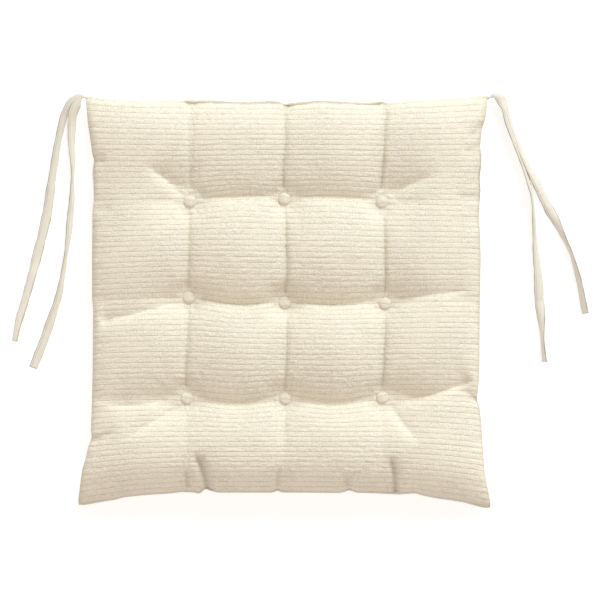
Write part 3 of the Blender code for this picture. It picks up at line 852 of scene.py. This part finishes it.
def fold_panel(panel, sign, u, v, inside):
    """Gives a panel its outline, folds and gathers in place, and returns its folds."""
    dx, dy = shape_plan(panel[..., 0], panel[..., 1], u, v)
    panel[..., 0] += dx
    panel[..., 1] += dy
    x, y = panel[..., 0], panel[..., 1]
    narrow = fold_depth(x, y, COLUMN_FOLDS) * ease(inside / FOLD_MARGIN)
    short = fold_depth(x, y, PUCKERS) * ease(inside / 2.5)
    down = fold_depth(x, y, FOLDS) * ease(inside / FOLD_MARGIN) + narrow
    down = down * off_buttons(x, y) + short
    panel[..., 2] -= sign * down * (1 if sign > 0 else BASE_FOLDS)
    if sign > 0:
        above_buttons(panel)
    panel[..., 2] += sign * gathers(x, y, u, v)
    if sign > 0:
        panel[..., 2] += lean(v)
    return narrow, short


def raise_ribs(panel, sign, cut, u, inside):
    """Raises the ribs and their pile from a panel, in place."""
    n = normals(panel) * sign
    rib_at = cut[..., 1] / RIB_PITCH
    uneven = 0.95 + 0.12 * smooth_noise(rib_at.shape, (75, 60))
    uneven = uneven * (1 - 0.28 * ease((np.abs(u) - TUFT_AT) / 0.2))
    rib = np.abs(np.sin(np.pi * rib_at)) ** 0.5 * uneven
    pile = RNG.normal(0, 1, rib.shape)
    pile = (pile + np.roll(pile, 1, 0)) / 1.4
    raised = rib * RIB_HEIGHT + pile * PILE * rib - 0.3
    panel += n * (raised * ease(inside / 3))[..., None]


def fine_panels(bag):
    """Both panels on the fine grid, with their place on the cut cloth and their painted shade."""
    # the columns of the fine grid lie closer together beside the tuft lines
    marks = np.linspace(0, SIM_STEPS, 4001)
    off = line_distance(np.interp(marks, np.arange(bag.n), bag.u[0]))
    density = 1 + 1.3 * np.exp(-(off / 5) ** 2)
    gone = np.concatenate([[0], np.cumsum((density[1:] + density[:-1]) / 2)])
    places = np.interp(np.linspace(0, gone[-1], FINE_COLUMNS), gone, marks)
    rows, columns = catmull(bag.n, np.linspace(0, SIM_STEPS, FINE_ROWS)), catmull(bag.n, places)

    def finer(grid):
        return np.einsum("ri,ijk,cj->rck", rows, grid, columns)

    cut = finer(bag.cut)
    top, base = finer(bag.top), finer(bag.base)
    u, v = (finer(x[..., None])[..., 0] for x in (bag.u, bag.v))
    inside = from_seam(u, v)
    narrow, short = fold_panel(top, 1.0, u, v, inside)
    fold_panel(base, -1.0, u, v, inside)
    raise_ribs(top, 1.0, cut, u, inside)
    raise_ribs(base, -1.0, cut, u, inside)
    base[..., 2] = 0.5 * (base[..., 2] + np.sqrt(base[..., 2] ** 2 + 0.6))
    base[..., 2] = np.maximum(base[..., 2], LOWEST)
    # painted shade: darker where the cloth turns in to the seam, widest at the front and faint at
    # the rear, and in the creases, the column creases most in the lower half of each puff
    reach = 2.2 + 1.8 * ease((-v - 0.9) / 0.08)
    seam = np.exp(-inside / reach) * (1 - 0.8 * ease((v - 0.9) / 0.08))
    low_half = 1 - 0.7 * ease((v % TUFT_AT / TUFT_AT - 0.35) / 0.3)
    crease_shade = 0.55 * low_half * (narrow / 2.4) ** 1.5 + 0.9 * (short / 4.5) ** 1.3
    return top, base, cut, seam, np.maximum(seam, np.clip(crease_shade, 0, 0.9))


# ---- pieces ----
def cover_panel(name, grid, cut, dark, faces_down, material, node):
    """One cover panel, as the mesh of its grid."""
    index = np.arange(grid.shape[0] * grid.shape[1]).reshape(grid.shape[:2])
    ob = mesh_object(name, grid.reshape(-1, 3), grid_faces(index, faces_down), material)
    # the Z of the cut attribute is the painted shade: along the seam, and on top also in the
    # creases
    store(ob, "cut", np.dstack([cut, dark]).reshape(-1, 3))
    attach(ob, "pad")
    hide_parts(node)


def lowest_near(grid, reach):
    """The least value within some cells of each."""
    padded = np.pad(grid, reach, mode="edge")
    made = grid.copy()
    for i in range(2 * reach + 1):
        for j in range(2 * reach + 1):
            made = np.minimum(made, padded[i:i + grid.shape[0], j:j + grid.shape[1]])
    return made


def wadding(bag, material):
    """The filling, which follows both panels from inside."""
    inner = slice(3, -3)
    top, base = bag.top[inner, inner], bag.base[inner, inner]
    down = fold_depth(top[..., 0], top[..., 1], FOLDS + COLUMN_FOLDS)
    high = lowest_near(top[..., 2] - down, 2) - 2.2
    low = -lowest_near(-np.maximum(base[..., 2], 0.5), 2) + 1.8
    middle = (high + low) / 2
    high, low = np.maximum(high, middle + 0.3), np.minimum(low, middle - 0.3)
    high = high - 0.5 * np.abs(smooth_noise(high.shape, (40, 40)))
    count = high.size
    index = np.arange(count).reshape(high.shape)
    verts = np.concatenate([
        np.dstack([top[..., :2], high]).reshape(-1, 3),
        np.dstack([base[..., :2], low]).reshape(-1, 3),
    ])
    loop = border(index)
    sides = [(a, a + count, b + count, b) for a, b in zip(loop, np.roll(loop, -1))]
    faces = grid_faces(index) + grid_faces(index + count, True)
    faces += [tuple(int(k) for k in side[::-1]) for side in sides]
    ob = mesh_object("pad_wadding", verts, faces, material)
    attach(ob, "pad")
    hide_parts("wadding_core")


def band_faces(rings, sides, closed=False):
    """The faces between rings that follow each other, each with as many points."""
    count = rings * sides
    faces = []
    for i in range(rings if closed else rings - 1):
        for k in range(sides):
            a, b = i * sides + k, i * sides + (k + 1) % sides
            faces.append((a, (a + sides) % count, (b + sides) % count, b))
    return faces


def rod_faces(rings, sides):
    """The same, closed at both ends."""
    last = rings * sides - 1
    ends = [tuple(range(sides)), tuple(range(last, last - sides, -1))]
    return band_faces(rings, sides) + ends


def tube(points, radius, sides, closed=False):
    """Vertices and faces of a round tube through points."""
    points = np.asarray(points, float)
    if closed:
        tangent = np.roll(points, -1, 0) - np.roll(points, 1, 0)
    else:
        tangent = np.gradient(points, axis=0)
    tangent /= np.linalg.norm(tangent, axis=1, keepdims=True) + 1e-12
    up = np.where(np.abs(tangent[:, 2:3]) > 0.9, (1.0, 0, 0), (0, 0, 1.0))
    side = np.cross(tangent, up)
    side /= np.linalg.norm(side, axis=1, keepdims=True) + 1e-12
    lift = np.cross(side, tangent)
    angle = np.arange(sides) * 2 * math.pi / sides
    radius = np.broadcast_to(np.asarray(radius, float), (len(points),))
    ring = np.cos(angle)[:, None] * side[:, None] + np.sin(angle)[:, None] * lift[:, None]
    verts = (points[:, None] + ring * radius[:, None, None]).reshape(-1, 3)
    rings = len(points)
    return verts, band_faces(rings, sides, True) if closed else rod_faces(rings, sides)


def joined(parts):
    """Several (vertices, faces) as one."""
    verts, faces, base = [], [], 0
    for part_verts, part_faces in parts:
        verts.append(part_verts)
        faces += [tuple(int(k) + base for k in face) for face in part_faces]
        base += len(part_verts)
    return np.concatenate(verts), faces


def sewing_piece(name, parts, material, node):
    """Thread or gathered tape on the pad, joined from its parts, in place of a CAD node."""
    ob = mesh_object(name, *joined(parts), material)
    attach(ob, "pad")
    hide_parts(node)


def stitch(a, b, rise, radius):
    """One short stitch that dips into the cloth at both ends."""
    a, b = np.asarray(a, float), np.asarray(b, float)
    rise = np.asarray(rise, float)
    share = np.linspace(0, 1, 6)[:, None]
    arch = np.sin(math.pi * share) - 0.45
    thick = radius * (0.55 + 0.45 * np.sin(math.pi * share[:, 0]))
    return tube(a + (b - a) * share + rise * arch, thick, 6)


def seam_thread(top, base, material):
    """Lockstitches in the groove of the knife edge, round all four sides."""
    line = (border(top) + border(base)) / 2
    centre = line.mean(0)
    line = np.vstack([line, line[:1]])
    marks = distances(line)
    count = int(marks[-1] / SEAM_STITCH)
    pivots = [joint_place(f"tie_{side}_inner_swing")[:2] for side in ("left", "right")]
    parts = []
    for start in np.arange(count) * marks[-1] / count:
        ends = [read_off(x, marks, line) for x in (start, start + 2.3)]
        # none beside the ties' pivots: a tie that swings out would cut through them
        if min(math.dist(end[:2], pivot) for end in ends for pivot in pivots) < PIVOT_CLEAR:
            continue
        away = (ends[0] - centre) * (1, 1, 0)
        away /= np.linalg.norm(away)
        parts.append(stitch(*ends, away * 0.35, 0.26))
    sewing_piece("pad_seam_stitches", parts, material, "seam_thread")


def closing(top, material):
    """Whip stitches over the hand-sewn opening at the rear."""
    edge = top[-1]
    parts = []
    xs = np.linspace(*OPENING, WHIP_STITCHES + 1)
    for x0, x1 in zip(xs, xs[1:]):
        _, y, z = read_off(x0, edge[:, 0], edge)
        start, stop = (x0, y - 2.2, z + 1.4), (x1 - 1.6, y + 0.3, z - 1.0)
        parts.append(stitch(start, stop, (0, 0.6, 0.6), 0.24))
    sewing_piece("pad_closing_stitches", parts, material, "closing_stitch")


def closing_lip(top, material):
    """The folded edges of the opening, which stand up as a narrow lip where it was closed."""
    edge = top[-1]
    sides = 14
    parts, cuts = [], []
    for start, stop in ((OPENING[0], -4.2), (-1.2, OPENING[1])):
        x = np.arange(start, stop, 1.1)
        y, z = read_off(x, edge[:, 0], edge[:, 1:]).T
        share = (x - start) / (stop - start)
        full = 0.25 + 0.75 * ease(np.minimum(share, 1 - share) * 14)
        sway = 0.25 * np.sin(x / 6.3) + 0.15 * np.sin(x / 2.7)
        line = np.column_stack([x, y - 0.2 + 0.5 * sway, z + 0.7 + 0.3 * sway])
        verts, faces = tube(line, 1.0, sides)
        off = verts.reshape(len(x), sides, 3) - line[:, None]
        size = full[:, None] * (1 + RNG.normal(0, 0.07, (len(x), sides)))
        verts = line[:, None] + off * np.dstack([size, 1.15 * size, 0.85 * size])
        parts.append((verts.reshape(-1, 3), faces))
        cut = np.zeros((len(x), sides, 3))
        cut[..., 0] = x[:, None]
        cut[..., 1] = 210 + np.arange(sides) * 0.7
        cuts.append(cut.reshape(-1, 3))
    verts, faces = joined(parts)
    ob = mesh_object("pad_closing_lip", verts, faces, material)
    store(ob, "cut", np.concatenate(cuts))
    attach(ob, "pad")


def covered_button(name, x, y, side, material, rng):
    """A cloth-covered dome with its cloth gathered round the rim."""
    rings, around = 26, 72
    angle = np.arange(around) * 2 * math.pi / around
    turn = rng.uniform(-0.25, 0.25)
    phase = rng.uniform(0, 6.28)
    verts, cut = [(0, 0, BUTTON_HEIGHT)], [(0, 0, 0)]
    for k in range(1, rings + 1):
        t = k / rings
        if t < 0.78:  # the dome, and then the edge that turns under
            a = t / 0.78 * math.radians(88)
            radius = BUTTON_RADIUS * math.sin(a)
            height = BUTTON_RIM + (BUTTON_HEIGHT - BUTTON_RIM) * math.cos(a) ** 0.8
        else:
            a = (t - 0.78) / 0.22
            radius = BUTTON_RADIUS - 1.3 * a**1.5
            height = BUTTON_RIM - 0.33 * math.sin(a * math.pi / 2)
        gather = ease((t - 0.45) / 0.4)
        pleat = 0.13 * np.sin(15 * angle + phase) + 0.07 * np.sin(9 * angle + 2 * phase)
        ring_radius = radius + gather * pleat
        px, py = ring_radius * np.cos(angle), ring_radius * np.sin(angle)
        flat = t * 9.0
        fx = flat * np.cos(angle + turn)
        fy = flat * np.sin(angle + turn) + phase
        rib = np.abs(np.sin(np.pi * fy / RIB_PITCH)) ** 0.45 * 0.32 + rng.normal(0, 0.05, around)
        lift = 1 + (rib - 0.2) * (1 - gather) / BUTTON_RADIUS
        verts += list(zip(px * lift, py * lift, np.full(around, height) * lift))
        cut += list(zip(fx, fy, np.zeros(around)))
    faces = [(0, 1 + k, 1 + (k + 1) % around) for k in range(around)]
    faces += [tuple(1 + k for k in face) for face in band_faces(rings, around)]
    faces.append(tuple(range(rings * around, (rings - 1) * around, -1)))
    verts = np.array(verts)
    seat = TOP_SEAT + BUTTON_CLEAR
    if side == "base":
        verts = verts * (1, -1, -1)
        seat = BASE_SEAT - BUTTON_CLEAR
    verts = verts + (x, y, seat)
    ob = mesh_object(name, verts, faces, material)
    store(ob, "cut", np.array(cut))
    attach(ob, "pad")
    return ob


def joint_place(name):
    joint = next(j for j in frame["joints"] if j["name"] == name)
    return np.array(joint["pos_m"], float) / MM


def tie_line(name):
    """The tie's centreline, the turn of the tape along it and its share of full width."""
    facts = TIES[name]
    pivot = joint_place(f"{name}_swing")[:2]
    raw = smoothed([tuple(pivot), *facts["route"]], 10)
    along = distances(raw)
    marks = np.linspace(0, along[-1], int(along[-1] / TAPE_STEP))
    xy = read_off(marks, along, raw)
    away = np.linalg.norm(xy - pivot, axis=1)
    twist = np.array(facts["twist"], float)[::-1]
    turn = np.interp(xy[:, 1], twist[:, 0], twist[:, 1])
    kernel = np.hanning(15) / np.hanning(15).sum()
    turn = np.convolve(np.pad(turn, 7, mode="edge"), kernel, mode="valid")
    turn = np.radians(turn) * ease((marks - 6) / 16)
    width = TAPE_ROOT_SHARE + (1 - TAPE_ROOT_SHARE) * ease(away / TAPE_GATHER)
    down = ease(away / TAPE_DROP_RADIUS)
    root = SEAM_AT_TIPS - TAPE_STACK / 2
    z = root + (TAPE_LOW - root) * down
    half = TAPE_WIDTH / 2 * np.abs(np.sin(turn)) * width
    z = np.maximum(z, half + TAPE_THICKNESS / 2 + 0.1)
    # the upper tape of a pair comes down once it is clear of the lower one
    if name in UPPER_TIES:
        z = z + TAPE_STACK * (1 - ease((away - 60) / 40) * (1 if "left" in name else 0))
        lowered = np.maximum(half + 0.6, z - TAPE_STACK * ease((away - 115) / 30))
        z = np.where(away > 115, lowered, z)
    return np.column_stack([xy, z]), turn, width


def tie(name, tape, thread):
    """A folded and stitched cotton tape."""
    line, turn, width = tie_line(name)
    tangent = np.gradient(line, axis=0)
    tangent /= np.linalg.norm(tangent, axis=1, keepdims=True)
    level = np.cross(tangent, (0, 0, 1.0))
    level /= np.linalg.norm(level, axis=1, keepdims=True)
    up = np.cross(level, tangent)
    across = level * np.cos(turn)[:, None] + up * np.sin(turn)[:, None]
    face = up * np.cos(turn)[:, None] - level * np.sin(turn)[:, None]
    half, thick = TAPE_FULL / 2, TAPE_THICKNESS / 2
    # section: (place across from -1 to 1, height as a share of half the thickness)
    upper = [(-1, 0), (-0.97, 0.7), (-0.88, 1), (-0.6, 0.95), (-0.3, 0.9), (0, 0.86),
             (0.3, 0.9), (0.52, 0.94), (0.62, 0.55), (0.72, 0.96), (0.9, 1), (0.97, 0.6)]
    lower = [(1, 0.05)] + [(x, -y) for x, y in upper[:0:-1]]
    section = np.array(upper + lower, float)
    sides = len(section)
    along = distances(line)
    body = 1 + 0.035 * np.sin(along / 5.1) + 0.025 * np.sin(along / 2.3)
    a = section[:, 0] * half * width[:, None] * body[:, None]
    b = section[:, 1] * thick * (0.6 + 0.4 * width[:, None])
    crown = TAPE_CROWN * width * (0.85 + 0.3 * np.sin(along / 17.0))
    cup = crown[:, None] * (0.6 - section[:, 0] ** 2)
    verts = line[:, None] + across[:, None] * a[..., None] + face[:, None] * (b + cup)[..., None]
    verts[..., 2] = np.maximum(verts[..., 2], 0.05)
    run = np.zeros(verts.shape)
    run[..., 0] = along[:, None]
    run[..., 1] = a
    run[..., 2] = np.arange(sides) * 0.7
    faces = rod_faces(len(line), sides)
    ob = mesh_object(f"{name}_tape", verts.reshape(-1, 3), faces, tape)
    store(ob, "run", run.reshape(-1, 3))
    body_name = f"{name}_body"
    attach(ob, body_name)
    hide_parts(name)
    # the row of stitches along one edge, on both faces
    parts = []
    for start in np.arange(10.0, along[-1] - 2, TAPE_STITCH):
        ends = []
        for x in (start, start + 2.2):
            middle, w, f = (read_off(x, along, table) for table in (line, across, face))
            ends.append((middle + w * 0.62 * half * np.interp(x, along, width), f))
        for flip in (1, -1):
            a, b = (on_row + f * flip * thick * 0.62 for on_row, f in ends)
            parts.append(stitch(a, b, ends[0][1] * flip * 0.22, 0.17))
    verts, faces = joined(parts)
    verts[:, 2] = np.maximum(verts[:, 2], 0.02)
    sewing = mesh_object(f"{name}_stitching", verts, faces, thread)
    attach(sewing, body_name)


def bar_tack(side, material):
    """Dense stitches over the folded ends of a corner's two tapes, and the stub they hold."""
    low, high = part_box(f"tie_bar_tack_{side}")
    centre = np.array((low + high) / 2) / MM
    pivot = joint_place(f"tie_{side}_inner_swing")
    out = pivot[:2] - centre[:2]
    reach = np.linalg.norm(out)
    out = np.array([*(out / reach), 0])
    across = np.array([-out[1], out[0], 0])
    parts = []
    # the gathered ends, from inside the corner out to the tapes' swing axis
    share = np.linspace(0, 1, 14)
    for height in (-0.8, 0.8):
        line = centre + out * (-3.0 + (reach + 3.0) * share[:, None]) + (0, 0, height)
        parts.append(tube(line, 0.62 + 0.35 * np.sin(share * math.pi * 0.8) ** 2, 12))
    # wrapped stitches
    angle = np.linspace(0, 2 * math.pi, 20, endpoint=False)
    for x in np.linspace(-0.85, 0.85, 7):
        ring = centre + out * x + across * (1.5 * np.cos(angle))[:, None]
        ring[:, 2] += 1.75 * np.sin(angle)
        parts.append(tube(ring, 0.17, 6, closed=True))
    sewing_piece(f"corner_tack_{side}", parts, material, f"tie_bar_tack_{side}")


# ---- the scene ----
def build():
    camera()
    tape = tape_cloth()
    thread = thread_paint("cotton_thread_twist", light=(0.87, 0.83, 0.72, 1),
                          dark=(0.75, 0.69, 0.58, 1))
    for name in TIES:
        tie(name, tape, thread)
    for side in ("left", "right"):
        bar_tack(side, thread)

    bag = Bag()
    bag.simulate()
    cloth = ribbed_cloth("ribbed_boucle", light=(0.925, 0.892, 0.772, 1),
                         dark=(0.735, 0.683, 0.553, 1), groove_share=0.62)
    cover = ribbed_cloth("button_boucle", light=(0.890, 0.850, 0.730, 1),
                         dark=(0.760, 0.708, 0.580, 1), groove_share=0.35)
    top, base, cut, seam, seam_and_crease_shade = fine_panels(bag)
    # painted shade for the panels: along the seam and in the creases on top, along the seam
    # underneath
    cover_panel("pad_top_cloth", top, cut, seam_and_crease_shade, False, cloth, "cover_top_panel")
    cover_panel("pad_bottom_cloth", base, cut, seam, True, cloth, "cover_bottom_panel")
    wadding(bag, fibre_paint())
    seam_thread(top, base, thread)
    closing(top, thread)
    closing_lip(top, cloth)
    rng = np.random.default_rng(5)
    for place, (x, y) in TUFTS.items():
        for side in ("top", "base"):
            ob = covered_button(f"{side}_covered_button_{place}", x, y, side, cover, rng)
            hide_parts(f"{side}_button_cap_{place}")
    steel = steel_paint()
    for name, node in frame["nodes"].items():
        for part, material in (("_button_back_", steel), ("tuft_cord_", thread)):
            if part in name:
                node.data.materials.clear()
                node.data.materials.append(material)
    studio()


build()
